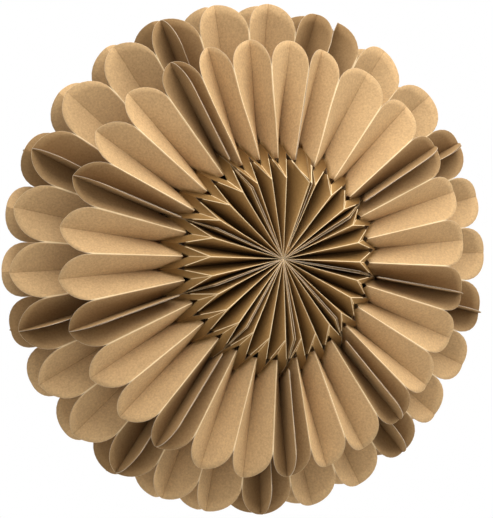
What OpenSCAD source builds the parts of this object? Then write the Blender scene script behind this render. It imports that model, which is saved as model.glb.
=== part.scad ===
/* [Paper] */
// Thickness of the kraft paper
paper_t = 0.25; // [0.2:0.01:0.3]
// Width of one pleat panel of the star fans
star_w = 28; // [27:0.5:30]
// Width of one pleat panel of the outer fans
outer_w = 31; // [31:0.5:33]

/* [Units] */
// Petals that each folded unit carries
petals = 3; // [3:1:4]
// Direction of the closing seam, counted from the right-hand side
first_seam = 71.6; // [0:0.1:120]

/* [Closing seam] */
// Angle by which the first flap of a star tier stands open there
star_opening = 12.6; // [8:0.1:14]
// Angle by which each flap of an outer tier stands open there
outer_opening = 2.8; // [1:0.1:4]

/* [Star] */
// Radius of the pointed star tips
star_tip_r = 102; // [96:1:106]
// Height of the star tips over the top of the outer pleats at the hub
star_tip_up = 35.5; // [33:0.5:39]
// Height of the star's valleys at the hub over that top
star_hub_up = 25; // [22:0.5:29]
// Slant of the reverse folds against the pleats
reverse_angle = 48; // [44:1:54]

/* [Front petals] */
// Radius at which the riser under the star meets the petals
foot_r = 116; // [112:1:120]
// Height of the petal valleys at that foot over the top of the outer pleats at the hub
foot_up = 11.5; // [10:0.5:15]
// Distance by which the front petals fall short of the outer ones
front_setback = 38; // [34:1:46]
// Height of the front petals' tips over that top
front_up = 8.5; // [8:0.5:12]

/* [Outer petals] */
// Radius of the outer petals at their tips
outer_r = 250; // [240:1:256]
// Height of the outer valleys at the hub
outer_hub_z = 4; // [2:0.5:6]
// Height of the outer petals at their tips
outer_z = 12; // [10:0.5:14]
// Radius within which the outer pleats are packed against each other
packed_r = 90; // [70:1:110]

/* [Relief cuts] */
// Length of a relief cut along its pleat
relief_l = 6; // [3:0.5:8]
// Reach of a relief cut along the reverse folds
relief_w = 8.5; // [6:0.5:10]
// Length of the pointed end of a relief cut
relief_nose = 1.2; // [0.5:0.1:2]

/* [Seams] */
// Distance from the riser to the fin that starts behind it
fin_gap = 3; // [1:0.5:5]
// Radius of the hidden wall sheets behind the front petals
wall_r = 188; // [150:1:190]

/* [Closing tab] */
// Radius at which the closing tab stands
tab_r = 9; // [7:0.5:14]
// Height of the closing tab over the hub
tab_h = 5; // [3:0.5:8]
// Width of the closing tab
tab_w = 7; // [5:0.5:9]
// Diameter of the hole punched in the closing tab
tab_hole_d = 2.5; // [1.5:0.25:3]

/* [Hidden] */
// Spread of the star tiers' units round the circle, from the closing seam on
star_spread_shares = [46.1, 40.5, 40.6, 38.8, 38.1, 36.4, 38.3, 41, 40.2];
// Spread of the outer tiers' units
outer_spread_shares = [40.9, 42.9, 40.5, 39.3, 36.4, 38.1, 37.8, 39.8, 44.3];
// Heights of a wall sheet's bends in the room between the outer fins and the front petals
low_bend_share = 0.4;
high_bend_share = 0.7;
// Least rise of a ridge over its valleys where a pleat lies almost flat
flat_rise_share = 0.12;
// Depth of a ridge's fold at the hub, where the sheets are packed
packed_fold_share = 0.06;
// Straight edges that make each rounded petal corner
arc_steps = 4;

units = len(star_spread_shares);
creases = 2 * petals + 3;
last = creases - 1;
panels = creases - 1;
// Pleats, end flaps and wall sheets just touch each other where they meet at the hub
hub_r = units * (petals * 2 + 3) * paper_t / (2 * PI);
half_wall = paper_t / 2;
front_r = outer_r - front_setback;
// Heights over the middle plane; the star tiers stand on the outer ones
outer_top_z = outer_hub_z + outer_w;
star_tip_z = outer_top_z + star_tip_up;
star_hub_z = outer_top_z + star_hub_up;
foot_z = outer_top_z + foot_up;
front_z = outer_top_z + front_up;
reverse_back = star_w / tan(reverse_angle);

function names(stem) = [for (i = [1:units]) str(stem, i)];

// A tier is its spread shares, its panel width and the openings of its last and first flaps
star_tier = [star_spread_shares, star_w, 0, star_opening];
outer_tier = [outer_spread_shares, outer_w, outer_opening, outer_opening];

function total(list, n) = n == 0 ? 0 : list[n - 1] + total(list, n - 1);
function seam(tier, i) = first_seam + 360 * total(tier[0], i) / total(tier[0], units);
function before(tier, i) = i == units ? tier[2] : 0;
function after(tier, i) = i == 0 ? tier[3] : 0;
function first_valley(tier, i) = seam(tier, i - 1) + after(tier, i - 1);
function last_valley(tier, i) = seam(tier, i) - before(tier, i);
function pleat_step(tier, i) = (last_valley(tier, i) - first_valley(tier, i)) / (2 * petals);

// Places on a profile are [radius, height over the middle plane]
function height_on(a, b, r) = a[1] + (b[1] - a[1]) * (r - a[0]) / (b[0] - a[0]);
function toward(a, b, d) = a + (b - a) * d / norm(b - a);
function mix(a, b, share) = a + (b - a) * share;

// Rise of a ridge over its valleys, from the true width of the paper between them
function rise(w, r, step) = sqrt(max(pow(w, 2) - pow(r * sin(step), 2), pow(w * flat_rise_share, 2)));
// Room between a crease and the next one, less the wall sheet where the crease lies against it
function room(r, step, pressed) = r * sin(step) - pressed * half_wall;
// Thickness of the paper, which is pressed where the pleats are packed
function ply(r, step, pressed) = min(paper_t, packed_fold_share * room(r, step, pressed));
// Upright thickness of the paper in a crease; a pressed crease joins a slanted panel to an upright flap
function lift(w, r, step, pressed) =
    ply(r, step, pressed) * (w + pressed * rise(w, r, step)) / room(r, step, pressed);

function is_valley(j) = j % 2 == 1;
function is_edge(j) = j == 0 || j == last;
function seam_side(j) = j < 2 ? 1 : (j > last - 2 ? -1 : 0);
// Angle by which the flap next to crease j stands open against the wall sheet
function flap_opening(tier, i, j) = j < 2 ? after(tier, i - 1) : before(tier, i);
function is_pressed(tier, i, j) = seam_side(j) != 0 && flap_opening(tier, i, j) == 0;
// Beyond the star the two flaps of the closing seam meet halfway between their valleys
function halfway(tier, r) = r > star_tip_r ? (tier[3] - tier[2]) / 2 : 0;
function fin_angle(tier, i, j, r) =
    j == 0 ? seam(tier, i - 1) + (i == 1 ? halfway(tier, r) : 0)
    : seam(tier, i) + (i == units ? halfway(tier, r) : 0);
function valley_angle(tier, i, j) = first_valley(tier, i) + pleat_step(tier, i) * (j - 1);
function crease_angle(tier, i, j, r) = is_edge(j) ? fin_angle(tier, i, j, r) : valley_angle(tier, i, j);
function fin_step(tier, i, j, r) =
    abs(fin_angle(tier, i, j, r) - valley_angle(tier, i, j == 0 ? 1 : last - 1));
// A crease next to an open flap takes its upright thickness from the steps on both its sides
function crease_step(tier, i, j) =
    let (step = pleat_step(tier, i))
    let (opening = seam_side(j) == 0 ? 0 : flap_opening(tier, i, j))
    opening == 0 ? step : (step + min(opening, step)) / 2;

// Point of crease j of unit i on the outer (1) or inner (-1) face of the paper
function spot(tier, i, j, p, face) =
    let (angle = crease_angle(tier, i, j, p[0]))
    let (pressed = is_pressed(tier, i, j) ? 1 : 0)
    let (step = crease_step(tier, i, j))
    let (thick = face > 0 && (is_edge(j) || pressed == 1) ? ply(p[0], step, pressed) : 0)
    let (off = seam_side(j) * (half_wall + thick))
    let (up = is_edge(j) ? 0 : face * lift(tier[1], p[0], step, pressed) / 2)
    [p[0] * cos(angle) - off * sin(angle), p[0] * sin(angle) + off * cos(angle), p[1] + up];

// Star fan: profiles of its valleys, ridges and end edges
hub_v = [hub_r, star_hub_z];
tip_v = [star_tip_r, star_tip_z];
foot_v = [foot_r, foot_z];
end_v = [front_r, front_z];

function star_z(r) = height_on(hub_v, tip_v, r);
function petal_z(r) = height_on(foot_v, end_v, r);
function ridge_f(step) =
    let (r = star_tip_r - reverse_back)
    [r, star_z(r) + rise(star_w, r, step)];
function ridge_n(step) =
    let (r = foot_r - reverse_back)
    [r, petal_z(r) + rise(star_w, r, step)];
function ridge_end(step) =
    let (r = front_r - star_w)
    [r, petal_z(r) + rise(star_w, r, step)];

function valley_profile() = [
    hub_v,
    toward(tip_v, hub_v, relief_l),
    toward(tip_v, foot_v, relief_nose),
    foot_v,
    end_v
];
function ridge_profile(step) = [
    [hub_r, star_hub_z + star_w],
    ridge_f(step),
    toward(ridge_n(step), ridge_f(step), relief_nose),
    toward(ridge_n(step), ridge_end(step), relief_l),
    ridge_end(step)
];
function fin_f(i, j) =
    let (r = star_tip_r - reverse_back)
    [r, star_z(r) + rise(star_w, r, fin_step(star_tier, i, j, r))];
function fin_end(i, j) =
    let (r = front_r - star_w)
    [r, petal_z(r) + rise(star_w, r, fin_step(star_tier, i, j, r))];
function fin_profile(i, j) = [
    [hub_r, star_hub_z + star_w],
    fin_f(i, j),
    toward(tip_v, fin_f(i, j), relief_w),
    [star_tip_r + fin_gap, star_tip_z],
    fin_end(i, j)
];
function star_profile(i, j) =
    is_edge(j) ? fin_profile(i, j)
    : (is_valley(j) ? valley_profile() : ridge_profile(pleat_step(star_tier, i)));

function high_side(p) = p % 2 == 0 ? p : p + 1;
function low_side(p) = p % 2 == 0 ? p + 1 : p;
function is_flap(p) = p == 0 || p == panels - 1;

// Rounded corner between the end of a high crease and the tip of a low one
function corner(tier, i, p, high, low, end_r, face) = [
    for (k = [1:arc_steps - 1])
        let (r = end_r - tier[1] + tier[1] * sin(90 * k / arc_steps))
        let (h = spot(tier, i, high_side(p), [r, height_on(high[0], high[1], r)], face))
        let (v = spot(tier, i, low_side(p), [r, height_on(low[0], low[1], r)], face))
        mix(v, h, cos(90 * k / arc_steps))
];

// Point on the fold between a high and a low place, at a distance from the first
function on_fold(i, j_from, from, j_to, to, d, face) =
    let (a = spot(star_tier, i, j_from, from, face))
    let (b = spot(star_tier, i, j_to, to, face))
    toward(a, b, d);
// An open flap is cut along the fold from its valley to its fin
function star_place(i, j, k, face) =
    is_edge(j) && k == 2 && !is_pressed(star_tier, i, j)
    ? on_fold(i, j == 0 ? 1 : last - 1, tip_v, j, fin_f(i, j), relief_w, face)
    : spot(star_tier, i, j, star_profile(i, j)[k], face);

function star_panel_points(i, p, face) =
    let (step = pleat_step(star_tier, i))
    let (high = star_profile(i, high_side(p)))
    let (low = valley_profile())
    concat(
        is_flap(p) ? [] : [
            on_fold(i, low_side(p), tip_v, high_side(p), ridge_f(step), relief_w, face),
            on_fold(i, high_side(p), ridge_n(step), low_side(p), foot_v, relief_w, face),
            on_fold(i, low_side(p), foot_v, high_side(p), ridge_n(step), relief_w, face)
        ],
        corner(star_tier, i, p, [high[3], high[4]], [low[3], low[4]], front_r, face)
    );
star_place_count = 5;
function star_points(i, face) = concat(
    [for (j = [0:last]) for (k = [0:star_place_count - 1]) star_place(i, j, k, face)],
    [for (j = [1:2:last]) spot(star_tier, i, j, toward(foot_v, tip_v, relief_l), face)],
    [for (p = [0:panels - 1]) for (point = star_panel_points(i, p, face)) point]
);

// Faces of one side of a star fan, named by the places of their corners
function place(j, k) = star_place_count * j + k;
// Place just inside the foot of valley j, where its relief cut ends
function foot_cut(j) = star_place_count * creases + (j - 1) / 2;
function panel_start(p) =
    foot_cut(last + 1) + (p == 0 ? 0 : arc_steps - 1 + (p - 1) * (arc_steps + 2));
function run(start, n) = [for (k = [0:n - 1]) start + k];
function flipped(list) = [for (k = [len(list) - 1:-1:0]) list[k]];
// Every other panel is seen from its other side
function turned(p, triangle) = p % 2 == 0 ? flipped(triangle) : triangle;
function fanned(face) = [for (k = [1:len(face) - 2]) [face[0], face[k], face[k + 1]]];

function pleat_faces(p) =
    let (h = high_side(p))
    let (v = low_side(p))
    let (s = panel_start(p))
    [
        [place(h, 1), s, place(v, 1), place(v, 0), place(h, 0)],
        [place(h, 1), place(h, 2), s + 1, s + 2, foot_cut(v), place(v, 2), s],
        concat(
            [place(v, 4), place(v, 3), s + 2, s + 1, place(h, 3), place(h, 4)],
            run(s + 3, arc_steps - 1)
        )
    ];
function flap_faces(p) =
    let (h = high_side(p))
    let (v = low_side(p))
    [
        [place(h, 1), place(h, 2), place(v, 1), place(v, 0), place(h, 0)],
        concat(
            [place(v, 3), place(h, 3), place(h, 4)],
            run(panel_start(p), arc_steps - 1),
            [place(v, 4)]
        )
    ];
star_faces = [
    for (p = [0:panels - 1])
        for (face = is_flap(p) ? flap_faces(p) : pleat_faces(p))
            for (triangle = fanned(face))
                turned(p, triangle)
];

// Outer fan: plain pleats that run from the hub to the rounded tips
outer_hub_v = [hub_r, outer_hub_z];
outer_end_v = [outer_r, outer_z];

function outer_valley_z(r) = height_on(outer_hub_v, outer_end_v, r);
function outer_high(i, j) =
    let (r = outer_r - outer_w)
    let (step = is_edge(j) ? fin_step(outer_tier, i, j, r) : pleat_step(outer_tier, i))
    [[hub_r, outer_top_z], [r, outer_valley_z(r) + rise(outer_w, r, step)]];
function with_packed(ends) = [ends[0], [packed_r, height_on(ends[0], ends[1], packed_r)], ends[1]];
function outer_profile(i, j) = with_packed(is_valley(j) ? [outer_hub_v, outer_end_v] : outer_high(i, j));
function outer_points(i, face) = concat(
    [for (j = [0:last]) for (place = outer_profile(i, j)) spot(outer_tier, i, j, place, face)],
    [
        for (p = [0:panels - 1])
            let (high = outer_high(i, high_side(p)))
            for (point = corner(outer_tier, i, p, high, [outer_hub_v, outer_end_v], outer_r, face))
                point
    ]
);
outer_place_count = 3;
outer_faces = [
    for (p = [0:panels - 1])
        let (h = outer_place_count * high_side(p))
        let (v = outer_place_count * low_side(p))
        let (arc = run(outer_place_count * creases + p * (arc_steps - 1), arc_steps - 1))
        for (face = [[v, h, h + 1, v + 1], concat([v + 1, h + 1, h + 2], arc, [v + 2])])
            for (triangle = fanned(face))
                turned(p, triangle)
];

// Edges that belong to one triangle only are the cut edges of the paper
function sides(faces) = [for (f = faces) for (k = [0:2]) [f[k], f[(k + 1) % 3]]];
function cut_edges(faces) =
    let (all = sides(faces))
    [for (e = all) if (len([for (o = all) if (o[0] == e[1] && o[1] == e[0]) o]) == 0) e];
star_edges = cut_edges(star_faces);
outer_edges = cut_edges(outer_faces);

// Closed sheet from its outer points, its inner points and the faces of one side
module sheet(outer, inner, faces, edges) {
    n = len(outer);
    polyhedron(
        points = concat(outer, inner),
        faces = concat(
            faces,
            [for (f = faces) [f[2] + n, f[1] + n, f[0] + n]],
            [for (e = edges) [e[1], e[0], e[0] + n]],
            [for (e = edges) [e[1], e[0] + n, e[1] + n]]
        )
    );
}

// The middle plane stands upright and the front looks along -Y
module upright() {
    rotate([90, 0, 0]) children();
}

module star_fan(i) {
    color("burlywood")
        sheet(star_points(i, 1), star_points(i, -1), star_faces, star_edges);
}

module outer_fan(i) {
    color("tan")
        sheet(outer_points(i, 1), outer_points(i, -1), outer_faces, outer_edges);
}

module front_star(i) {
    upright() star_fan(i);
}

module rear_star(i) {
    upright() mirror([0, 0, 1]) star_fan(i);
}

module front_outer(i) {
    upright() outer_fan(i);
}

module rear_outer(i) {
    upright() mirror([0, 0, 1]) outer_fan(i);
}

// Top edge of a wall sheet from the hub out; it ends just under the valleys of the front petals
wall_f = [star_tip_r - reverse_back, star_z(star_tip_r - reverse_back) + star_w];
under_petals = 2 * paper_t;
wall_top = [
    [hub_r, star_hub_z + star_w],
    wall_f,
    tip_v,
    [foot_r, foot_z - under_petals],
    [wall_r, petal_z(wall_r) - under_petals]
];
wall_columns = len(wall_top);
wall_rows = 6;
fin_top_z = outer_valley_z(wall_r) + outer_w;
low_bend_z = fin_top_z + (petal_z(wall_r) - fin_top_z) * low_bend_share;
high_bend_z = fin_top_z + (petal_z(wall_r) - fin_top_z) * high_bend_share;

function wall_top_z(r) = height_on(wall_top[0], wall_f, r);
function wall_z(row, column) = row == 0 ? wall_top[column][1] : (row == 1 ? high_bend_z : low_bend_z);
// The wall sheet runs from the star's seam down to the outer tiers' seam, with a bend at either side of the step
function wall_point(i, row, column, face) =
    let (half_row = min(row, wall_rows - 1 - row))
    let (r = wall_top[column][0])
    let (angle = seam(half_row == 2 ? outer_tier : star_tier, i - 1))
    let (run = r * sin(seam(outer_tier, i - 1) - seam(star_tier, i - 1)))
    let (drop = high_bend_z - low_bend_z)
    let (bevel = half_row == 0 ? 0 : face * half_wall * run / (drop + norm([run, drop])))
    let (z = wall_z(half_row, column) + bevel)
    let (off = face * half_wall)
    [r * cos(angle) - off * sin(angle), r * sin(angle) + off * cos(angle), row < wall_rows / 2 ? z : -z];
function wall_points(i, face) = [
    for (row = [0:wall_rows - 1])
        for (column = [0:wall_columns - 1])
            wall_point(i, row, column, face)
];
wall_faces = [
    for (row = [0:wall_rows - 2])
        for (column = [0:wall_columns - 2])
            let (a = row * wall_columns + column)
            for (triangle = fanned([a, a + wall_columns, a + wall_columns + 1, a + 1]))
                triangle
];
wall_edges = cut_edges(wall_faces);

module seam_wall(i) {
    color("peru")
        upright()
            sheet(wall_points(i, 1), wall_points(i, -1), wall_faces, wall_edges);
}

module closing_tab() {
    color("burlywood")
        upright()
            rotate([0, 0, first_seam])
                translate([tab_r, 0, wall_top_z(tab_r + tab_w / 2)])
                    rotate([90, 0, 0])
                        linear_extrude(height = paper_t, center = true)
                            difference() {
                                translate([-tab_w / 2, 0])
                                    square([tab_w, tab_h]);
                                translate([0, tab_h - tab_hole_d])
                                    circle(d = tab_hole_d, $fn = 24);
                            }
}

for (i = [1:units]) {
    front_star(i);
    front_outer(i);
    rear_outer(i);
    rear_star(i);
    seam_wall(i);
}
closing_tab();
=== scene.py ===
"""Paper star lantern: a hanging rosette of pleated kraft paper.

Laid out as an add-on and run as a script.
"""

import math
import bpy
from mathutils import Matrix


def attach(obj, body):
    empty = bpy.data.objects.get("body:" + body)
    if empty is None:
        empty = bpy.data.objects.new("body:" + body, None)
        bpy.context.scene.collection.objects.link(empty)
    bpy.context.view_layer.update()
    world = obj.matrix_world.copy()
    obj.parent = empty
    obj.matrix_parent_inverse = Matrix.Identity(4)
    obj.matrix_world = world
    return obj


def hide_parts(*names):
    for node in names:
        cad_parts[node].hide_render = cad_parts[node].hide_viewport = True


bl_info = {
    "name": "Paper Star Lantern",
    "version": (1, 0, 0),
    "blender": (4, 5, 0),
    "location": "3D View > Sidebar > Paper Star",
    "description": "Dresses the paper star lantern: pleated tiers, kraft paper and a studio stage",
    "category": "Object",
}

import bpy
import numpy as np
from bpy.props import FloatProperty, FloatVectorProperty, IntProperty, PointerProperty
from bpy.types import Operator, Panel, PropertyGroup
from mathutils import Vector

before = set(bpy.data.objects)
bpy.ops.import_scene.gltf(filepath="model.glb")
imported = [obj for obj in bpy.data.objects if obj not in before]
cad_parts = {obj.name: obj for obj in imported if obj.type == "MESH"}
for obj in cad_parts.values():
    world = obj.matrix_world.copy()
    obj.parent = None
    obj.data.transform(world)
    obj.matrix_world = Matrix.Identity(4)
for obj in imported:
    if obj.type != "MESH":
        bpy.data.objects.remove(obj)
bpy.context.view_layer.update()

MM = 0.001
UNITS = 9

# Directions in degrees, counter-clockwise from the right-hand side as seen from the front.
# Each row is one folded unit: its first glued edge, its four valleys and its last glued edge.
FRONT_UNITS = (
    (79.0, 84.2, 95.2, 106.6, 117.7, 117.7),
    (117.7, 117.7, 131.9, 145.0, 158.2, 158.2),
    (158.2, 158.2, 171.7, 185.1, 198.8, 198.8),
    (198.8, 198.8, 212.1, 224.9, 237.6, 237.6),
    (237.6, 237.6, 251.1, 263.5, 276.1, 276.1),
    (276.1, 276.1, 287.6, 299.2, 312.1, 312.1),
    (312.1, 312.1, 324.0, 338.4, 350.6, 350.6),
    (350.6, 350.6, 365.1, 378.4, 391.6, 391.6),
    (391.6, 391.6, 405.1, 419.5, 433.8, 439.0),
)
OUTER_UNITS = (
    (71.6, 74.4, 86.6, 99.5, 112.8, 112.8),
    (112.8, 112.8, 125.3, 140.3, 155.2, 155.2),
    (155.2, 155.2, 168.6, 183.0, 195.9, 195.9),
    (195.9, 195.9, 208.5, 222.0, 235.2, 235.2),
    (235.2, 235.2, 247.5, 258.4, 271.8, 271.8),
    (271.8, 271.8, 284.5, 297.0, 309.8, 309.8),
    (309.8, 309.8, 321.6, 334.9, 347.5, 347.5),
    (347.5, 347.5, 361.5, 374.6, 387.6, 387.6),
    (387.6, 387.6, 400.8, 415.8, 428.9, 431.6),
)

# The two front units at the closing seam. Turns are in degrees: star_ ones move a crease of the star
# against the petals beyond it, ridge_ ones move a petal ridge at the rim. Lifts raise a valley at the
# rim, in millimetres.
CREASE_TURNS = ("star_first_edge", "star_last_valley", "star_last_edge", "ridge_1", "ridge_2", "ridge_3")
VALLEY_LIFTS = ("lift_0", "lift_1", "lift_2", "lift_3")
FIRST_UNIT = {
    "star_first_edge": -8.4, "ridge_1": 2.3, "ridge_2": 2.5, "ridge_3": 1.2, "lift_0": 10.0, "lift_1": 5.0,
}
LAST_UNIT = {"star_last_valley": -4.4, "star_last_edge": -8.6, "ridge_3": 1.5}

# Widths of a pleat panel, in millimetres as all sizes of the pattern are
STAR_WIDTH = 28.0
OUTER_WIDTH = 31.0

# Radii. A valley of the star reaches out to its tip and drops to its foot on the petals; a ridge turns
# at its fold and meets the petal at its flank.
HUB_R = 0.3
TIP_R, FOOT_R = 102.0, 116.0
FOLD_R, FLANK_R = 76.79, 90.79
FRONT_R, OUTER_R = 212.0, 250.0
# Where the relief cuts beside a tip, a foot and a flank end on the crease
TIP_CUT_R, FOOT_CUT_R, FLANK_CUT_R = 96.0, 113.4, 96.8

# Profiles of the creases as radius and height over the middle plane. A ridge's own height follows from
# the panel width and is added to its base.
STAR_VALLEY = ((HUB_R, 59.8), (TIP_R, 70.5), (FOOT_R, 46.5), (FRONT_R, 43.5))
STAR_RIDGE_BASE = ((HUB_R, 59.8), (FOLD_R, 67.82), (FLANK_R, 47.29), (FRONT_R - STAR_WIDTH, 44.38))
OUTER_VALLEY = ((HUB_R, 4.0), (OUTER_R, 12.0))
OUTER_RIDGE_BASE = ((HUB_R, 4.0), (OUTER_R - OUTER_WIDTH, 11.0))

# A fin's lower edge, behind the riser: how far it leans in, the share of the panel where it turns, and
# how far it comes back from there on
FIN_LEAN, FIN_TURN_SHARE, FIN_RETURN = 11.0, 0.85, 3.0

# Shares of a panel's width, from its valley to its ridge, at which the mesh is divided
ACROSS = (0.0, 0.03, 0.12, 0.235, 0.37, 0.5, 0.63, 0.765, 0.88, 0.96, 0.99, 1.0)
RELIEF_SHARE = 0.235
STAR_ROWS, RISER_ROWS, PETAL_ROWS, OUTER_ROWS = 12, 5, 16, 26
FAR_FROM_A_FOLD = 60.0
TINY = 1e-9

PANELS = 8
LAST_VALLEY, LAST_EDGE = 3, 4
# The panels beside the seams: the end flaps and the petal halves next to them
SEAM_PANELS = (0, 1, 6, 7)

# Ranges of radius, in metres, over which an effect sets in
VALLEY_SHIFT_RANGE = (0.116, 0.2)
RIDGE_SHIFT_RANGE = (0.09, 0.165)
WALL_END_RANGE = (0.189, 0.198)
FIN_PART_RANGE = (0.0, 0.07)
RIPPLE_RANGE = (0.05, 0.14)
LOOSE_RANGE = (0.16, 0.25)

# Least rise of a ridge over its base, as a share of the panel width
LEAST_RISE_SHARE = 0.12
# How much of the flap gap closes beyond the wall sheet, and the least share of the fin opening
CLOSED_SHARE, LEAST_OPENING_SHARE = 0.53, 0.35
# Soft ripples: noise scale per metre, direction of the loose petals, and how much more they ripple
RIPPLE_SCALE, LOOSE_DIRECTION, LOOSE_GAIN = 22.0, (0.5, 0.87), 13.0
FRONT_LOOSE_SHARE, OUTER_LOOSE_SHARE = 0.15, 1.0
SHARP_ANGLE = math.radians(9)

# Paper grain: noise scales per metre and how much each changes the tone
TOOTH_SCALE, TOOTH_AMOUNT = 480.0, 0.85
CLOUD_SCALE, CLOUD_AMOUNT = 38.0, 0.20
FIBRE_STRETCH, FIBRE_TURN = (160.0, 160.0, 1400.0), (0.35, 0.5, 0.2)
FLECK_RANGE, FLECK_AMOUNT = (0.6, 0.74), 0.10
LEAST_ROUGHNESS, ROUGHNESS_RISE = 0.72, 0.2
TOOTH_RELIEF, FIBRE_RELIEF = 0.6, 0.4
LEAST_TONE, TONE_RISE = 0.965, 0.07

# Folds rubbed pale, with a painted highlight along the ridges and rims: scale of the wear, reach from the
# fold in millimetres, and how strongly the rim counts
WORN_SCALE, LEAST_REACH, REACH_RISE, RIM_WEIGHT = 90.0, 0.45, 0.8, 8.0
PALE_RANGE, PALE_AMOUNT = (0.45, 1.5), 0.85
# Painted shade in the grooves: the dark line in a valley, the shade that falls towards it, and how far petals
# and seam petals are spared
CREASE_SHADE_RANGE, CREASE_SHADE_AMOUNT = (0.15, 0.9), 0.3
DEEP_POWER, PETAL_SPARED, SEAM_SHADED = 0.22, 0.9, 0.6
PAINTED_SHADE_TINT, PAINTED_SHADE_AMOUNT = (0.23, 0.175, 0.10), 0.95
# Painted light and shade: the lit open petals are tinted less saturated, the shaded star in the middle deeper
STAR_SHADE_TINT, PETAL_LIT_TINT = (1.02, 0.985, 0.84, 1), (0.965, 1.0, 1.12, 1)
# Cut edges are pale on the fins and the rims, and darkened with painted shade inside the relief cuts
ON_FIN_RANGE, ON_RIM_RANGE, CUT_SHADE = (0.9, 0.97), (5.0, 2.0), 0.2
# The wall sheets' kraft is darkened with painted shade, as they lie deep between the flaps
WALL_SHADE = 0.6
PAPER_SPECULAR = 0.1
BUMP = {"Strength": 0.35, "Distance": 0.00012}

# Seeded numbers: how many each unit has, and where those of the ridges and of the fins start
DRAWS_PER_UNIT, RIDGE_DRAWS, FIN_DRAWS = 32.0, 8.0, 16.0

# Name, place, size and power setting of each lamp
LAMPS = (
    ("Key light", (0.2, -1.0, 2.4), 3.6, "key_power"),
    ("Left light", (-1.9, -1.4, 0.5), 2.4, "left_power"),
    ("Right light", (2.2, -1.0, 0.6), 2.4, "right_power"),
)
FLOOR_HALF, FLOOR_SCALE, FLOOR_ROUGHNESS = 1.5, 6.0, 0.85
FLOOR_COLOURS = (0.84, 0.84, 0.83, 1), (0.88, 0.88, 0.87, 1)
SENSOR_WIDTH = 36
# How far the view's middle lies beside the lantern's axis
VIEW_SHIFT = -0.00245


# ---------------------------------------------------------------- sizes and looks


class StarPaperSettings(PropertyGroup):
    """Sizes of the paper sheets, in metres."""

    thickness: FloatProperty(
        name="Paper thickness", description="Thickness of the kraft sheets",
        default=0.25 * MM, min=0.1 * MM, unit="LENGTH", precision=5)
    star_width: FloatProperty(
        name="Star pleat width", description="Width of one pleat panel of the star tiers",
        default=STAR_WIDTH * MM, unit="LENGTH")
    outer_width: FloatProperty(
        name="Outer pleat width", description="Width of one pleat panel of the outer tiers",
        default=OUTER_WIDTH * MM, unit="LENGTH")
    flap_gap: FloatProperty(
        name="Flap gap", description="Distance of an end flap from the middle of the wall sheet",
        default=0.3 * MM, unit="LENGTH", precision=5)
    fin_opening: FloatProperty(
        name="Fin opening", description="How far the free edge of a glued flap stands off",
        default=0.9 * MM, unit="LENGTH", precision=5)
    bow: FloatProperty(
        name="Bow", description="Depth of the hollow of a petal half",
        default=0.8 * MM, unit="LENGTH", precision=5)
    ripple: FloatProperty(
        name="Ripple", description="Height of the soft ripples in the sheets",
        default=0.9 * MM, unit="LENGTH", precision=5)
    wander: FloatProperty(
        name="Wander", description="How far a hand-made ridge strays from its place",
        default=0.9 * MM, unit="LENGTH", precision=5)
    seed: IntProperty(name="Seed", description="Seed of the hand-made irregularities", default=11)


class StarLookSettings(PropertyGroup):
    """Colours of the paper."""

    kraft: FloatVectorProperty(
        name="Kraft", description="Colour of the kraft paper",
        subtype="COLOR", size=3, default=(0.56, 0.35, 0.153))
    # The fold colour is partly rubbed paper and partly a painted highlight along the ridges and rims
    fold: FloatVectorProperty(
        name="Fold", description="Colour of the paper where a fold is rubbed pale",
        subtype="COLOR", size=3, default=(0.88, 0.68, 0.41))
    raw_edge: FloatVectorProperty(
        name="Raw edge", description="Colour of the cut edge of a sheet",
        subtype="COLOR", size=3, default=(0.50, 0.40, 0.30))


class StarStageSettings(PropertyGroup):
    """Camera and light."""

    camera_turn: FloatProperty(
        name="Camera turn", description="How far the camera stands to the left",
        default=math.radians(22), subtype="ANGLE")
    camera_distance: FloatProperty(
        name="Camera distance", description="Distance of the camera",
        default=3.0, unit="LENGTH")
    view_height: FloatProperty(
        name="View height", description="Height of the view at the lantern",
        default=518 / 1020, unit="LENGTH")
    floor_drop: FloatProperty(
        name="Floor drop", description="Height of the lantern's middle over the floor",
        default=0.75, unit="LENGTH")
    key_power: FloatProperty(
        name="Key light", description="Power of the large soft light",
        default=136.0, unit="POWER")
    left_power: FloatProperty(
        name="Left light", description="Power of the soft light on the left",
        default=24.0, unit="POWER")
    right_power: FloatProperty(
        name="Right light", description="Power of the soft light on the right",
        default=42.0, unit="POWER")
    sky: FloatProperty(
        name="Sky", description="Strength of the even light from all round", default=0.05)


# ---------------------------------------------------------------- node helpers


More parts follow.
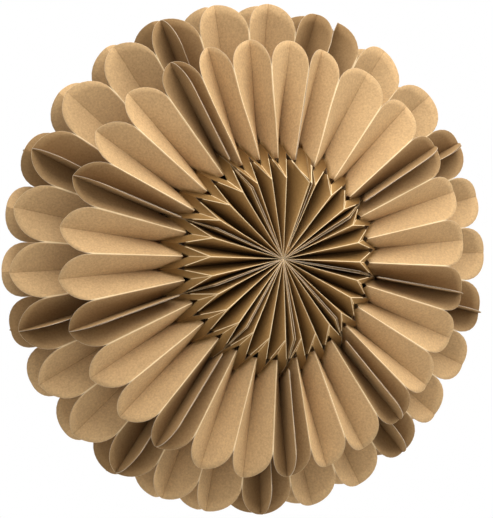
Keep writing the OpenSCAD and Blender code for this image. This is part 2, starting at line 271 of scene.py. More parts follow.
class NodeBuilder:
    """Adds nodes to a tree and links them; a value or a socket may feed each input."""

    def __init__(self, tree):
        self.tree = tree

    def add(self, kind, inputs=(), **settings):
        node = self.tree.nodes.new(kind)
        for key, value in settings.items():
            setattr(node, key, value)
        for key, value in dict(inputs).items():
            self.feed(node.inputs[key], value)
        return node

    def feed(self, socket, value):
        if isinstance(value, bpy.types.NodeSocket):
            self.tree.links.new(value, socket)
        else:
            socket.default_value = value

    def math(self, operation, *values, clamp=False):
        node = self.add("ShaderNodeMath", operation=operation, use_clamp=clamp)
        for socket, value in zip(node.inputs, values):
            self.feed(socket, value)
        return node.outputs[0]

    def mix(self, share, a, b):
        """a + (b - a) * share, for plain numbers."""
        return self.math("ADD", a, self.math("MULTIPLY", self.math("SUBTRACT", b, a), share))

    def ramp(self, value, low, high):
        """0 at low, 1 at high, smooth between them."""
        node = self.add("ShaderNodeMapRange", interpolation_type="SMOOTHSTEP", clamp=True)
        for socket, item in zip(node.inputs, (value, low, high, 0.0, 1.0)):
            self.feed(socket, item)
        return node.outputs[0]

    def mix_colour(self, share, a, b, blend="MIX"):
        """Sockets 6 and 7 and output 2 are the colour ones of the node."""
        node = self.add("ShaderNodeMix", data_type="RGBA", blend_type=blend)
        self.feed(node.inputs["Factor"], share)
        self.feed(node.inputs[6], a)
        self.feed(node.inputs[7], b)
        return node.outputs[2]


def socket_of(tree, name, kind, default=None, way="INPUT"):
    item = tree.interface.new_socket(name=name, in_out=way, socket_type=kind)
    if default is not None:
        item.default_value = default
    return item


# ---------------------------------------------------------------- flat patterns of a unit


def store(mesh, name, values, domain="POINT"):
    """Keeps one number for each point or face of a mesh."""
    attribute = mesh.attributes.new(name, "FLOAT", domain)
    attribute.data.foreach_set("value", np.array(values, np.float32))


class Pattern:
    """Mesh of one folded unit before it is spread.

    Each point says where it lies on a valley and on a ridge, and how far from a fold and from the rim.
    """

    NAMES = ("low", "high", "share", "r_low", "z_low", "r_high", "r_from", "z_from", "r_to", "z_to",
             "along", "side_low", "side_high", "chevron_mm", "edge_mm", "petal", "star_low", "star_high")
    CHEVRON, EDGE = NAMES.index("chevron_mm"), NAMES.index("edge_mm")

    def __init__(self, valley, ridge, glued):
        self.valley, self.ridge, self.glued = valley, ridge, glued
        self.rows, self.index, self.faces, self.panels = [], {}, [], []

    def valley_z(self, r):
        rs, zs = zip(*self.valley)
        return float(np.interp(r, rs, zs))

    def ridge_span(self, r):
        k = 0
        while k < len(self.ridge) - 2 and r > self.ridge[k + 1][0] + TINY:
            k += 1
        (ra, za), (rb, zb) = self.ridge[k], self.ridge[k + 1]
        return ra, za, rb, zb, (r - ra) / (rb - ra)

    def point(self, panel, share, r_low, r_high, chevron, edge, petal):
        low, high = panel // 2, (panel + 1) // 2
        if share < TINY:
            key = ("low", low, round(r_low, 4))
        elif share > 1 - TINY:
            key = ("high", high, round(r_high, 4))
        else:
            key = (panel, round(share, 4), round(r_low, 4), round(r_high, 4))
        if key in self.index:
            row = self.rows[self.index[key]]
            row[self.CHEVRON] = min(row[self.CHEVRON], chevron)
            row[self.EDGE] = min(row[self.EDGE], edge)
            return self.index[key]
        ra, za, rb, zb, t = self.ridge_span(r_high)
        side_low = {0: 1.0, LAST_VALLEY: -1.0}.get(low, 0.0)
        side_high = {0: 1.0, LAST_EDGE: -1.0}.get(high, 0.0)
        star_low = float(np.interp(r_low, (TIP_R, FOOT_R), (1, 0)))
        star_high = float(np.interp(r_high, (FOLD_R, FLANK_R), (1, 0)))
        self.rows.append([low, high, share, r_low, self.valley_z(r_low), r_high, ra, za, rb, zb, t,
                          side_low, side_high, chevron, edge, petal, star_low, star_high])
        self.index[key] = len(self.rows) - 1
        return self.index[key]

    def facet(self, panel, start, end, rows, fold_at=None, petal=0.0):
        """Fills the part of a panel between two curves, each a function from share to (r_low, r_high).

        fold_at says whether a reverse fold runs along the start or the end; a petal ends at the rim.
        """
        grid = []
        for k in range(rows + 1):
            u = k / rows
            row = []
            for c in ACROSS:
                (la, ha), (lb, hb) = start(c), end(c)
                length = abs((1 - c) * (lb - la) + c * (hb - ha))
                chevron = edge = FAR_FROM_A_FOLD
                if fold_at and c > RELIEF_SHARE - TINY:
                    chevron = length * (1 - u if fold_at == "end" else u)
                if petal:
                    edge = length * (1 - u)
                row.append(self.point(panel, c, la + (lb - la) * u, ha + (hb - ha) * u, chevron, edge, petal))
            grid.append(row)
        for k in range(rows):
            for m in range(len(ACROSS) - 1):
                quad = [grid[k][m], grid[k + 1][m], grid[k + 1][m + 1], grid[k][m + 1]]
                quad = [q for n, q in enumerate(quad) if q != quad[n - 1]]
                if len(quad) > 2:
                    self.faces.append(quad if panel % 2 else quad[::-1])
                    self.panels.append(panel)

    def mesh(self, name):
        mesh = bpy.data.meshes.new(name)
        mesh.from_pydata([(i * MM, 0, 0) for i in range(len(self.rows))], [], self.faces)
        for attribute, values in zip(self.NAMES, zip(*self.rows)):
            store(mesh, attribute, values)
        store(mesh, "panel", self.panels, "FACE")
        store(mesh, "seam", np.isin(self.panels, self.glued), "FACE")
        return mesh


def rounded(end_r, width):
    """Outer edge of a petal half: a quarter circle from the ridge to the tip of the valley."""
    def place(c):
        r = end_r - width + width * math.sqrt(max(0.0, 1 - c * c))
        return r, r
    return place


def straight(r):
    return lambda c: (r, r)


def cut_radius(c, corner, point):
    """Radius on the crease beside a cut that runs from the corner to the fold at RELIEF_SHARE."""
    near = c / RELIEF_SHARE
    return (corner * (1 - near) + point * (1 - RELIEF_SHARE) * near) / (1 - c)


def before_fold(c):
    return (TIP_R if c >= RELIEF_SHARE else cut_radius(c, TIP_CUT_R, TIP_R)), FOLD_R


def after_fold(c):
    return TIP_R, FOLD_R


def before_foot(c):
    return (FOOT_R if c >= RELIEF_SHARE else cut_radius(c, FOOT_CUT_R, FOOT_R)), FLANK_R


def after_foot(c):
    return FOOT_R, (FLANK_R if 1 - c >= RELIEF_SHARE else cut_radius(1 - c, FLANK_CUT_R, FLANK_R))


def fin_start(c):
    lean = FIN_LEAN * min(c, FIN_TURN_SHARE) / FIN_TURN_SHARE
    back = FIN_RETURN * max(0.0, c - FIN_TURN_SHARE) / (1 - FIN_TURN_SHARE)
    return FOOT_R - lean + back, FOOT_R - lean + back


def star_pattern(glued, flaps):
    """Star tier: the star's own facets, the reverse-folded risers and the petals, with their relief cuts."""
    sheet = Pattern(STAR_VALLEY, STAR_RIDGE_BASE, glued)
    rim = rounded(FRONT_R, STAR_WIDTH)
    for panel in range(PANELS):
        sheet.facet(panel, straight(HUB_R), before_fold, STAR_ROWS, fold_at="end")
        if panel in flaps:
            sheet.facet(panel, fin_start, rim, PETAL_ROWS, petal=1.0)
        else:
            sheet.facet(panel, after_fold, before_foot, RISER_ROWS, fold_at="start")
            sheet.facet(panel, after_foot, rim, PETAL_ROWS, petal=1.0)
    return sheet


def outer_pattern():
    """Outer tier: straight pleats out to the rounded rim."""
    sheet = Pattern(OUTER_VALLEY, OUTER_RIDGE_BASE, SEAM_PANELS)
    for panel in range(PANELS):
        sheet.facet(panel, straight(HUB_R), rounded(OUTER_R, OUTER_WIDTH), OUTER_ROWS, petal=1.0)
    return sheet


# ---------------------------------------------------------------- the spread of a tier


def named(build, name):
    node = build.add("GeometryNodeInputNamedAttribute", {"Name": name}, data_type="FLOAT")
    return node.outputs["Attribute"]


def choose(build, index, values):
    node = build.add("GeometryNodeIndexSwitch", data_type="FLOAT")
    while len(node.index_switch_items) < len(values):
        node.index_switch_items.new()
    build.feed(node.inputs["Index"], index)
    for socket, value in zip(node.inputs[1:], values):
        build.feed(socket, value)
    return node.outputs[0]


def whole(build, value):
    return build.add("FunctionNodeFloatToInt", {0: value}, rounding_mode="ROUND").outputs[0]


def spread_tree():
    """Geometry Nodes tree that copies one folded unit to each place of a tier and folds it up."""
    tree = bpy.data.node_groups.new("Pleated tier", "GeometryNodeTree")
    socket_of(tree, "Geometry", "NodeSocketGeometry")
    socket_of(tree, "Units", "NodeSocketObject")
    socket_of(tree, "Paper", "NodeSocketMaterial")
    for name, default in (
            ("Panel width", STAR_WIDTH * MM), ("Flap gap", 0.3 * MM), ("Fin opening", 0.9 * MM),
            ("Side", 1.0), ("Bow", 0.8 * MM), ("Ripple", 0.9 * MM), ("Loose share", 0.0),
            ("Wander", 0.9 * MM), ("End radius", FRONT_R * MM)):
        socket_of(tree, name, "NodeSocketFloat", default)
    socket_of(tree, "Seed", "NodeSocketInt", 1)
    socket_of(tree, "Geometry", "NodeSocketGeometry", way="OUTPUT")
    build = NodeBuilder(tree)
    given = build.add("NodeGroupInput").outputs
    width = given["Panel width"]

    units = build.add("GeometryNodeObjectInfo", {"Object": given["Units"]}).outputs["Geometry"]
    placed = build.add("GeometryNodeInstanceOnPoints", {"Points": units, "Instance": given["Geometry"]})
    sheet = build.add("GeometryNodeRealizeInstances", {"Geometry": placed.outputs[0]}).outputs[0]

    valleys = [named(build, f"valley_{k}") for k in range(4)]
    first, last = named(build, "first_edge"), named(build, "last_edge")
    halves = [build.math("MULTIPLY", build.math("ADD", valleys[k], valleys[k + 1]), 0.5) for k in range(3)]
    gaps = [build.math("MULTIPLY", build.math("SUBTRACT", valleys[k + 1], valleys[k]), 0.5) for k in range(3)]
    low, high = whole(build, named(build, "low")), whole(build, named(build, "high"))
    low_turn = choose(build, low, [0.0, 0.0, 0.0, named(build, "star_last_valley")])
    high_turn = choose(build, high, [
        named(build, "star_first_edge"), 0.0, 0.0, 0.0, named(build, "star_last_edge")])
    low_angle = build.math("ADD", choose(build, low, valleys),
                           build.math("MULTIPLY", low_turn, named(build, "star_low")))
    high_angle = build.math("ADD", choose(build, high, [first, *halves, last]),
                            build.math("MULTIPLY", high_turn, named(build, "star_high")))
    ridge_turn = choose(build, high, [
        0.0, named(build, "ridge_1"), named(build, "ridge_2"), named(build, "ridge_3"), 0.0])
    lifts = [named(build, key) for key in VALLEY_LIFTS]
    ridge_lifts = [build.math("MULTIPLY", build.math("ADD", lifts[k], lifts[k + 1]), 0.5) for k in range(3)]
    step = choose(build, high, [build.math("SUBTRACT", valleys[0], first), *gaps,
                                build.math("SUBTRACT", last, valleys[3])])

    def metres(name):
        return build.math("MULTIPLY", named(build, name), MM)

    def square(value):
        return build.math("MULTIPLY", value, value)

    def ridge_height(radius, base):
        """Height that a panel of constant width reaches over the given base, at least a small share of it."""
        left = build.math("SUBTRACT", square(width),
                          square(build.math("MULTIPLY", radius, build.math("SINE", step))))
        least = build.math("MULTIPLY", square(width), LEAST_RISE_SHARE ** 2)
        return build.math("ADD", base, build.math("SQRT", build.math("MAXIMUM", left, least)))

    share = named(build, "share")
    r_low, r_high = metres("r_low"), metres("r_high")
    z_high = build.mix(named(build, "along"), ridge_height(metres("r_from"), metres("z_from")),
                       ridge_height(metres("r_to"), metres("z_to")))
    unit = named(build, "unit")

    def chance(offset, low, high):
        """A seeded number for each crease of each unit."""
        number = whole(build, build.math("ADD", build.math("MULTIPLY", unit, DRAWS_PER_UNIT), offset))
        node = build.add("FunctionNodeRandomValue", data_type="FLOAT")
        build.feed(node.inputs["ID"], number)
        build.feed(node.inputs["Seed"], given["Seed"])
        build.feed(node.inputs[2], low)
        build.feed(node.inputs[3], high)
        return node.outputs[1]

    def stray(offset, radius):
        """Seeded wander of a crease, nothing at the hub and full at the rim."""
        far = build.math("DIVIDE", radius, given["End radius"])
        return build.math("MULTIPLY", build.math("MULTIPLY", chance(offset, -1.0, 1.0), given["Wander"]), far)

    inner_crease = build.math("COMPARE", named(build, "side_high"), 0.0, 0.1)
    astray = stray(build.math("ADD", named(build, "high"), RIDGE_DRAWS), r_high)
    z_high = build.math("ADD", z_high, build.math("MULTIPLY", inner_crease, astray))
    far_low, far_high = build.ramp(r_low, *VALLEY_SHIFT_RANGE), build.ramp(r_high, *RIDGE_SHIFT_RANGE)
    high_angle = build.math("ADD", high_angle, build.math("MULTIPLY", ridge_turn, far_high))
    ridge_lift = choose(build, high, [0.0, *ridge_lifts, 0.0])
    z_high = build.math("ADD", z_high, build.math("MULTIPLY", ridge_lift, far_high))
    z_low = build.math("ADD", metres("z_low"), build.math("MULTIPLY", choose(build, low, lifts), far_low))

    def around(radius, angle, side, gap):
        """Place in the tier's plane; a flap lies beside its wall sheet and, beyond it, nearer the next."""
        closed = build.math("MULTIPLY", build.ramp(radius, *WALL_END_RANGE), CLOSED_SHARE)
        off = build.math("MULTIPLY", build.math("MULTIPLY", side, gap), build.math("SUBTRACT", 1.0, closed))
        cosine, sine = build.math("COSINE", angle), build.math("SINE", angle)
        x = build.math("SUBTRACT", build.math("MULTIPLY", radius, cosine), build.math("MULTIPLY", off, sine))
        y = build.math("ADD", build.math("MULTIPLY", radius, sine), build.math("MULTIPLY", off, cosine))
        return x, y

    drawn = chance(build.math("ADD", named(build, "high"), FIN_DRAWS), LEAST_OPENING_SHARE, 1.0)
    parted = build.math("MULTIPLY", drawn, given["Fin opening"])
    parted = build.math("MULTIPLY", build.math("MULTIPLY", parted, named(build, "star_high")),
                        build.ramp(r_high, *FIN_PART_RANGE))
    high_gap = build.math("ADD", given["Flap gap"], parted)
    xl, yl = around(r_low, low_angle, named(build, "side_low"), given["Flap gap"])
    xh, yh = around(r_high, high_angle, named(build, "side_high"), high_gap)
    x, y, z = build.mix(share, xl, xh), build.mix(share, yl, yh), build.mix(share, z_low, z_high)

    radius = build.mix(share, r_low, r_high)
    out = build.math("POWER", build.math("DIVIDE", radius, given["End radius"]), 2.0)
    hollow = build.math("MULTIPLY", build.math("MULTIPLY", share, build.math("SUBTRACT", 1.0, share)), 4.0)
    dip = build.math("MULTIPLY", build.math("MULTIPLY", hollow, given["Bow"]),
                     build.math("MULTIPLY", out, named(build, "petal")))
    z = build.math("SUBTRACT", z, dip)
    z = build.math("MULTIPLY", z, given["Side"])
    folded = build.add("ShaderNodeCombineXYZ", {"X": x, "Y": build.math("MULTIPLY", z, -1.0), "Z": y})
    sheet = build.add("GeometryNodeSetPosition", {
        "Geometry": sheet, "Position": folded.outputs[0]}).outputs[0]

    # Soft ripples, stronger in the loose petals at the upper right
    waves = build.add("ShaderNodeTexNoise", {"Scale": RIPPLE_SCALE, "Detail": 1.0}, noise_dimensions="4D")
    build.feed(waves.inputs["Vector"], build.add("GeometryNodeInputPosition").outputs[0])
    build.feed(waves.inputs["W"], given["Seed"])
    place = build.add("ShaderNodeSeparateXYZ", {0: build.add("GeometryNodeInputPosition").outputs[0]})
    toward = build.math("ADD", build.math("MULTIPLY", place.outputs[0], LOOSE_DIRECTION[0]),
                        build.math("MULTIPLY", place.outputs[2], LOOSE_DIRECTION[1]))
    loose = build.math("MULTIPLY", build.ramp(toward, *LOOSE_RANGE), given["Loose share"])
    height = build.math("MULTIPLY", build.math("SUBTRACT", waves.outputs[0], 0.5), given["Ripple"])
    height = build.math("MULTIPLY", height, build.math("ADD", 1.0, build.math("MULTIPLY", loose, LOOSE_GAIN)))
    height = build.math("MULTIPLY", height, build.ramp(radius, *RIPPLE_RANGE))
    lean = build.add("ShaderNodeVectorMath", operation="SCALE")
    build.feed(lean.inputs[0], build.add("GeometryNodeInputNormal").outputs[0])
    build.feed(lean.inputs["Scale"], height)
    sheet = build.add("GeometryNodeSetPosition", {"Geometry": sheet, "Offset": lean.outputs[0]}).outputs[0]

    keep = build.add("GeometryNodeStoreNamedAttribute", {"Geometry": sheet, "Name": "tone"},
                     data_type="FLOAT", domain="FACE")
    build.feed(keep.inputs["Value"], chance(named(build, "panel"), 0.0, 1.0))
    flip = build.add("GeometryNodeFlipFaces", {"Mesh": keep.outputs[0]})
    at_back = build.add("FunctionNodeCompare", {"A": given["Side"], "B": 0.0},
                        data_type="FLOAT", operation="LESS_THAN").outputs[0]
    build.feed(flip.inputs["Selection"], at_back)
    whole_tier = build.add("GeometryNodeRealizeInstances", {"Geometry": flip.outputs[0]})
    dressed = build.add("GeometryNodeSetMaterial",
                        {"Geometry": whole_tier.outputs[0], "Material": given["Paper"]})
    build.feed(build.add("NodeGroupOutput").inputs[0], dressed.outputs[0])
    return tree


def unit_points(name, units, moved):
    """One point for each folded unit, with its creases' directions in radians and its lifts in metres."""
    mesh = bpy.data.meshes.new(name)
    mesh.from_pydata([(0, 0, 0)] * len(units), [], [])
    creases = ("first_edge", "valley_0", "valley_1", "valley_2", "valley_3", "last_edge")
    for attribute, degrees in zip(creases, zip(*units)):
        store(mesh, attribute, np.radians(np.array(degrees, np.float32)))
    store(mesh, "unit", range(len(units)))
    for attribute in CREASE_TURNS + VALLEY_LIFTS:
        scale = math.radians(1) if attribute in CREASE_TURNS else MM
        store(mesh, attribute, [moved.get(attribute, 0.0) * scale] * len(units))
    thing = bpy.data.objects.new(name, mesh)
    bpy.context.scene.collection.objects.link(thing)
    return thing


def set_inputs(modifier, values):
    for item in modifier.node_group.interface.items_tree:
        if item.item_type == "SOCKET" and item.in_out == "INPUT" and item.name in values:
            modifier[item.identifier] = values[item.name]


def folded_mesh(name, pattern, units, values, moved):
    """Runs the tree on a pattern and returns the plain mesh that it makes."""
    points = unit_points(name + "_units", units, moved)
    helper = bpy.data.objects.new(name + "_pattern", pattern)
    bpy.context.scene.collection.objects.link(helper)
    modifier = helper.modifiers.new("Spread", "NODES")
    modifier.node_group = bpy.data.node_groups.get("Pleated tier") or spread_tree()
    set_inputs(modifier, dict(values, Units=points))
    depsgraph = bpy.context.evaluated_depsgraph_get()
    depsgraph.update()
    mesh = bpy.data.meshes.new_from_object(helper.evaluated_get(depsgraph), depsgraph=depsgraph)
    helper.modifiers.remove(modifier)
    for thing in (helper, points):
        data = thing.data
        bpy.data.objects.remove(thing)
        bpy.data.meshes.remove(data)
    return mesh


def join_meshes(name, meshes):
    """One object from several meshes with the same attributes and materials."""
    things = []
    for mesh in meshes:
        thing = bpy.data.objects.new(name, mesh)
        bpy.context.scene.collection.objects.link(thing)
        things.append(thing)
    with bpy.context.temp_override(active_object=things[0], selected_editable_objects=things):
        bpy.ops.object.join()
    return things[0]


def thicken(thing, thickness):
    """Gives a folded sheet its paper thickness, with the cut edges in their own finish."""
    thing.data.set_sharp_from_angle(angle=SHARP_ANGLE)
    solid = thing.modifiers.new("Paper", "SOLIDIFY")
    solid.thickness = thickness
    solid.offset = 0.0
    solid.use_even_offset = False
    solid.material_offset_rim = 1


# ---------------------------------------------------------------- finishes


def noise(build, place, scale, detail, **inputs):
    """Noise value at a place; the scale is per metre."""
    values = {"Vector": place, "Scale": scale, "Detail": detail, **inputs}
    return build.add("ShaderNodeTexNoise", values).outputs[0]


def stored(build, name):
    """Value that the mesh keeps for each point or face."""
    return build.add("ShaderNodeAttribute", attribute_name=name).outputs["Fac"]


def grain_group():
    """Fibres, mottling and tooth of kraft paper."""
    tree = bpy.data.node_groups.new("Kraft grain", "ShaderNodeTree")
    socket_of(tree, "Position", "NodeSocketVector")
    socket_of(tree, "Fibre amount", "NodeSocketFloat", 0.5)
    for name in ("Tone", "Roughness", "Height"):
        socket_of(tree, name, "NodeSocketFloat", way="OUTPUT")
    build = NodeBuilder(tree)
    given = build.add("NodeGroupInput").outputs
    place = given["Position"]
    tooth = noise(build, place, TOOTH_SCALE, 4.0, Roughness=0.65)
    cloud = noise(build, place, CLOUD_SCALE, 3.0)
    stretched = build.add("ShaderNodeMapping", {
        "Vector": place, "Scale": FIBRE_STRETCH, "Rotation": FIBRE_TURN}).outputs[0]
    fibre = noise(build, stretched, 1.0, 2.0)
    fleck = build.math("MULTIPLY", build.ramp(fibre, *FLECK_RANGE), FLECK_AMOUNT)
    tone = build.math("ADD", build.math("MULTIPLY", build.math("SUBTRACT", tooth, 0.5), TOOTH_AMOUNT),
                      build.math("MULTIPLY", build.math("SUBTRACT", cloud, 0.5), CLOUD_AMOUNT))
    tone = build.math("SUBTRACT", tone, build.math("MULTIPLY", fleck, given["Fibre amount"]))
    roughness = build.math("ADD", LEAST_ROUGHNESS, build.math("MULTIPLY", tooth, ROUGHNESS_RISE))
    height = build.math("ADD", build.math("MULTIPLY", tooth, TOOTH_RELIEF),
                        build.math("MULTIPLY", fibre, FIBRE_RELIEF))
    build.add("NodeGroupOutput", {
        "Tone": build.math("ADD", tone, 1.0), "Roughness": roughness, "Height": height})
    return tree


def fold_wear_and_light_group():
    """Masks of the folds rubbed pale with a painted highlight and of the painted shade in the grooves, from
    how far a point lies from them.
    """
    tree = bpy.data.node_groups.new("Fold wear", "ShaderNodeTree")
    socket_of(tree, "Position", "NodeSocketVector")
    socket_of(tree, "Width mm", "NodeSocketFloat", STAR_WIDTH)
    socket_of(tree, "Pale folds", "NodeSocketFloat", way="OUTPUT")
    socket_of(tree, "Dark folds", "NodeSocketFloat", way="OUTPUT")
    build = NodeBuilder(tree)
    given = build.add("NodeGroupInput").outputs
    share = stored(build, "share")
    ridge = build.math("MULTIPLY", build.math("SUBTRACT", 1.0, share), given["Width mm"])
    valley = build.math("MULTIPLY", share, given["Width mm"])
    worn = noise(build, given["Position"], WORN_SCALE, 2.0)
    reach = build.math("ADD", LEAST_REACH, build.math("MULTIPLY", worn, REACH_RISE))
    near = build.math("MINIMUM", build.math("MINIMUM", ridge, stored(build, "chevron_mm")),
                      build.math("MULTIPLY", stored(build, "edge_mm"), RIM_WEIGHT))
    pale = build.math("SUBTRACT", 1.0, build.ramp(build.math("DIVIDE", near, reach), *PALE_RANGE))
    # Painted shade: a dark line along each valley crease, and a fall of shade from the ridge into the valley
    line = build.math("SUBTRACT", 1.0, build.ramp(valley, *CREASE_SHADE_RANGE))
    fall = build.math("POWER", build.math("SUBTRACT", 1.0, build.math("MINIMUM", share, 1.0)), DEEP_POWER)
    spared = build.math("SUBTRACT", PETAL_SPARED,
                        build.math("MULTIPLY", stored(build, "seam"), SEAM_SHADED))
    spared = build.math("MULTIPLY", stored(build, "petal"), spared)
    deep = build.math("MULTIPLY", fall, build.math("SUBTRACT", 1.0, spared))
    build.add("NodeGroupOutput", {
        "Pale folds": pale,
        "Dark folds": build.math("MAXIMUM", build.math("MULTIPLY", line, CREASE_SHADE_AMOUNT), deep)})
    return tree


def shader_group(build, name, maker, inputs):
    """Outputs of a shared group, which is made when it is first used."""
    group = bpy.data.node_groups.get(name) or maker()
    node = build.add("ShaderNodeGroup", node_tree=group)
    for key, value in inputs.items():
        build.feed(node.inputs[key], value)
    return node.outputs


def wear_and_painted_light(build, place, shown, colour, fold_wear_and_highlight, width_mm):
    """Tints the petals and the star with painted light and shade, paints shade into the grooves and rubs the
    folds pale with a painted highlight.
    """
    # Painted light and shade: lit petals less saturated, shaded star deeper in tone
    painted_light_tint = build.mix_colour(stored(build, "petal"), STAR_SHADE_TINT, PETAL_LIT_TINT)
    shown = build.mix_colour(1.0, shown, painted_light_tint, "MULTIPLY")
    # wear holds the masks of the rubbed, highlit folds and of the painted shade in the grooves
    wear = shader_group(build, "Fold wear", fold_wear_and_light_group, {"Position": place, "Width mm": width_mm})
    # Painted shade: the grooves and the seam petals beside the fins darken towards this tint
    painted_groove_shade = tuple(channel * tint for channel, tint in zip(colour, PAINTED_SHADE_TINT))
    shown = build.mix_colour(build.math("MULTIPLY", wear["Dark folds"], PAINTED_SHADE_AMOUNT), shown, (*painted_groove_shade, 1))
    # Folds rubbed pale: partly wear and partly a painted highlight
    pale = build.math("MULTIPLY", wear["Pale folds"], PALE_AMOUNT)
    return build.mix_colour(pale, shown, (*fold_wear_and_highlight, 1))


def paper_material(name, colour, fold_wear_and_highlight=None, width_mm=STAR_WIDTH, cut_painted_shade=None):
    """Kraft paper; a fold colour shows its folds rubbed pale with a painted highlight, a cut colour paints
    shade into the relief cuts.
    """
    material = bpy.data.materials.new(name)
    material.use_nodes = True
    build = NodeBuilder(material.node_tree)
    surface = material.node_tree.nodes["Principled BSDF"]
    place = build.add("ShaderNodeTexCoord").outputs["Object"]
    grain = shader_group(build, "Kraft grain", grain_group, {"Position": place})
    tone = grain["Tone"]
    if fold_wear_and_highlight:
        panel = build.math("MULTIPLY", stored(build, "tone"), TONE_RISE)
        tone = build.math("MULTIPLY", tone, build.math("ADD", LEAST_TONE, panel))
    shade = build.add("ShaderNodeCombineColor")
    for socket in shade.inputs[:3]:
        build.feed(socket, tone)
    shown = build.mix_colour(1.0, (*colour, 1), shade.outputs[0], "MULTIPLY")
    if fold_wear_and_highlight:
        shown = wear_and_painted_light(build, place, shown, colour, fold_wear_and_highlight, width_mm)
    if cut_painted_shade:
        # Painted shade: cut edges away from the fins and rims, as inside the relief cuts, take the darkened
        # cut colour
        on_fin = build.ramp(stored(build, "share"), *ON_FIN_RANGE)
        on_rim = build.ramp(stored(build, "edge_mm"), *ON_RIM_RANGE)
        shown = build.mix_colour(build.math("MAXIMUM", on_fin, on_rim), (*cut_painted_shade, 1), shown)
    build.feed(surface.inputs["Base Color"], shown)
    build.feed(surface.inputs["Roughness"], grain["Roughness"])
    surface.inputs["Specular IOR Level"].default_value = PAPER_SPECULAR
    bump = build.add("ShaderNodeBump", {"Height": grain["Height"], **BUMP})
    build.feed(surface.inputs["Normal"], bump.outputs[0])
    return material


def finish_tier(name, meshes, thickness):
    """Makes a tier's piece from its meshes and lets it stand for its CAD nodes."""
    piece = join_meshes(name, meshes)
    piece.name = name
    piece.data.name = name
    thicken(piece, thickness)
    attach(piece, "root")
    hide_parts(*[f"{name}_{k}" for k in range(1, UNITS + 1)])


def tier_values(settings, width, end, side, seed_step, paper, loose):
    return {"Panel width": width, "Flap gap": settings.flap_gap, "Fin opening": settings.fin_opening,
            "Side": side, "Bow": settings.bow, "Ripple": settings.ripple, "Loose share": loose,
            "Wander": settings.wander, "End radius": end * MM, "Seed": settings.seed + seed_step,
            "Paper": paper}


def paper_pair(width_mm):
    """Face and cut-edge materials of a tier."""
    look = bpy.context.scene.star_look
    name = f"Kraft pleats {width_mm:.0f}"
    # The raw edge colour darkened into painted shade for the relief cuts
    cut_painted_shade = tuple(CUT_SHADE * channel for channel in look.raw_edge)
    face = bpy.data.materials.get(name) or paper_material(
        name, tuple(look.kraft), tuple(look.fold), width_mm)
    edge = bpy.data.materials.get("Raw edge") or paper_material(
        "Raw edge", tuple(look.raw_edge), cut_painted_shade=cut_painted_shade)
    return face, edge


def make_star_tier(name, side, seed_step):
    """The units beside the closing seam have one glued flap each and creases of their own."""
    settings = bpy.context.scene.star_paper
    face, edge = paper_pair(STAR_WIDTH)
    parts = []
    for units, moved, flaps, glued in (
            (FRONT_UNITS[:1], FIRST_UNIT, (7,), (6, 7)),
            (FRONT_UNITS[1:-1], {}, (0, 7), SEAM_PANELS),
            (FRONT_UNITS[-1:], LAST_UNIT, (0,), (0, 1))):
        values = tier_values(settings, settings.star_width, FRONT_R, side, seed_step + len(parts), face,
                             FRONT_LOOSE_SHARE)
        parts.append(folded_mesh(name, star_pattern(glued, flaps).mesh(name), units, values, moved))
    for mesh in parts:
        mesh.materials.append(edge)
    finish_tier(name, parts, settings.thickness)


def make_outer_tier(name, side, seed_step):
    settings = bpy.context.scene.star_paper
    face, edge = paper_pair(OUTER_WIDTH)
    values = tier_values(settings, settings.outer_width, OUTER_R, side, seed_step, face, OUTER_LOOSE_SHARE)
    mesh = folded_mesh(name, outer_pattern().mesh(name), OUTER_UNITS, values, {})
    mesh.materials.append(edge)
    finish_tier(name, [mesh], settings.thickness)


# ---------------------------------------------------------------- operators


class STAR_OT_front_star(Operator):
    """Folds the star and the petals of the front"""

    bl_idname = "star.front_star"
    bl_label = "Front star tier"

    def execute(self, context):
        make_star_tier("front_star", side=1.0, seed_step=0)
        return {"FINISHED"}


class STAR_OT_front_outer(Operator):
    """Folds the outer petals of the front"""

    bl_idname = "star.front_outer"
    bl_label = "Front outer tier"

    def execute(self, context):
        make_outer_tier("front_outer", side=1.0, seed_step=10)
        return {"FINISHED"}


class STAR_OT_rear_outer(Operator):
    """Folds the outer petals of the back"""

    bl_idname = "star.rear_outer"
    bl_label = "Rear outer tier"

    def execute(self, context):
        make_outer_tier("rear_outer", side=-1.0, seed_step=20)
        return {"FINISHED"}


class STAR_OT_rear_star(Operator):
    """Folds the star and the petals of the back"""

    bl_idname = "star.rear_star"
    bl_label = "Rear star tier"

    def execute(self, context):
        make_star_tier("rear_star", side=-1.0, seed_step=30)
        return {"FINISHED"}


class STAR_OT_walls(Operator):
    """Gives the wall sheets and the closing tab their kraft paper, darkened with painted shade"""

    bl_idname = "star.walls"
    bl_label = "Wall sheets and closing tab"

    def execute(self, context):
        look = context.scene.star_look
        # Painted shade: the wall paper is the kraft colour darkened
        paper = paper_material("Kraft wall", tuple(WALL_SHADE * channel for channel in look.kraft))
        for node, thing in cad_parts.items():
            if node.startswith("seam_wall_") or node == "closing_tab":
                thing.data.materials.clear()
                thing.data.materials.append(paper)
        return {"FINISHED"}


def seen_by_camera(build):
    """1 for the camera's own view and for what mirrors or bends it, else 0."""
    path = build.add("ShaderNodeLightPath").outputs
    seen = build.math("ADD", path["Is Camera Ray"], path["Is Glossy Ray"], clamp=True)
    return build.math("ADD", seen, path["Is Transmission Ray"], clamp=True)


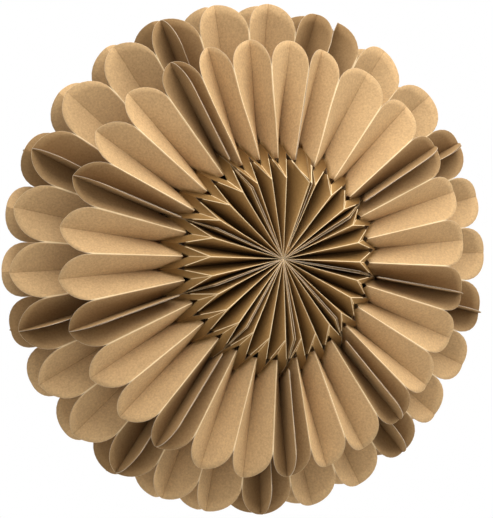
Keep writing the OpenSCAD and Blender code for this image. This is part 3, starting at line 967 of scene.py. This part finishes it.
class STAR_OT_stage(Operator):
    """Sets up the floor, the lights, the white surroundings and the camera"""

    bl_idname = "star.stage"
    bl_label = "Stage"

    def execute(self, context):
        stage = context.scene.star_stage
        scene = context.scene
        scene.view_settings.view_transform = "Standard"
        self.add_floor(stage)
        self.add_surroundings(scene, stage)
        for name, place, size, power in LAMPS:
            self.add_light(name, place, size, getattr(stage, power))
        self.add_camera(scene, stage)
        return {"FINISHED"}

    def add_floor(self, stage):
        mesh = bpy.data.meshes.new("Floor")
        corners = ((-1, -1), (1, -1), (1, 1), (-1, 1))
        mesh.from_pydata([(x * FLOOR_HALF, y * FLOOR_HALF, -stage.floor_drop) for x, y in corners], [],
                         [(0, 1, 2, 3)])
        floor = bpy.data.objects.new("Floor", mesh)
        bpy.context.scene.collection.objects.link(floor)
        material = bpy.data.materials.new("Pale floor")
        material.use_nodes = True
        surface = material.node_tree.nodes["Principled BSDF"]
        build = NodeBuilder(material.node_tree)
        place = build.add("ShaderNodeTexCoord").outputs["Object"]
        shade = build.mix_colour(noise(build, place, FLOOR_SCALE, 4.0), *FLOOR_COLOURS)
        build.feed(surface.inputs["Base Color"], shade)
        surface.inputs["Roughness"].default_value = FLOOR_ROUGHNESS
        mesh.materials.append(material)

    def add_surroundings(self, scene, stage):
        world = bpy.data.worlds.new("Studio")
        world.use_nodes = True
        scene.world = world
        build = NodeBuilder(world.node_tree)
        background = world.node_tree.nodes["Background"]
        background.inputs["Color"].default_value = (1, 1, 1, 1)
        build.feed(background.inputs["Strength"], build.mix(seen_by_camera(build), stage.sky, 1.0))

    def add_light(self, name, place, size, power):
        data = bpy.data.lights.new(name, "AREA")
        data.shape = "DISK"
        data.size = size
        data.energy = power
        thing = bpy.data.objects.new(name, data)
        thing.location = place
        thing.rotation_euler = (-Vector(place)).to_track_quat("-Z", "Y").to_euler()
        bpy.context.scene.collection.objects.link(thing)

    def add_camera(self, scene, stage):
        data = bpy.data.cameras.new("Camera")
        data.sensor_width = SENSOR_WIDTH
        data.lens = SENSOR_WIDTH * stage.camera_distance / stage.view_height
        camera = bpy.data.objects.new("Camera", data)
        turn = stage.camera_turn
        back = Vector((-math.sin(turn), -math.cos(turn), 0))
        right = Vector((math.cos(turn), -math.sin(turn), 0))
        target = right * VIEW_SHIFT
        camera.location = target + back * stage.camera_distance
        camera.rotation_euler = (-back).to_track_quat("-Z", "Y").to_euler()
        scene.collection.objects.link(camera)
        scene.camera = camera


class STAR_PT_panel(Panel):
    """Lists the steps in the order in which they run"""

    bl_idname = "STAR_PT_panel"
    bl_label = "Paper Star"
    bl_space_type = "VIEW_3D"
    bl_region_type = "UI"
    bl_category = "Paper Star"

    def draw(self, context):
        layout = self.layout
        for group in (context.scene.star_paper, context.scene.star_look, context.scene.star_stage):
            box = layout.box()
            for key in group.__annotations__:
                box.prop(group, key)
        for step in STEPS:
            layout.operator(step)


STEPS = (
    "star.front_star", "star.front_outer", "star.rear_outer", "star.rear_star", "star.walls", "star.stage",
)
CLASSES = (
    StarPaperSettings, StarLookSettings, StarStageSettings, STAR_OT_front_star, STAR_OT_front_outer,
    STAR_OT_rear_outer, STAR_OT_rear_star, STAR_OT_walls, STAR_OT_stage, STAR_PT_panel,
)


def register():
    for item in CLASSES:
        bpy.utils.register_class(item)
    bpy.types.Scene.star_paper = PointerProperty(type=StarPaperSettings)
    bpy.types.Scene.star_look = PointerProperty(type=StarLookSettings)
    bpy.types.Scene.star_stage = PointerProperty(type=StarStageSettings)


def unregister():
    del bpy.types.Scene.star_stage
    del bpy.types.Scene.star_look
    del bpy.types.Scene.star_paper
    for item in reversed(CLASSES):
        bpy.utils.unregister_class(item)


def main():
    register()
    for step in STEPS:
        family, name = step.split(".")
        getattr(getattr(bpy.ops, family), name)()


if __name__ == "__main__":
    main()
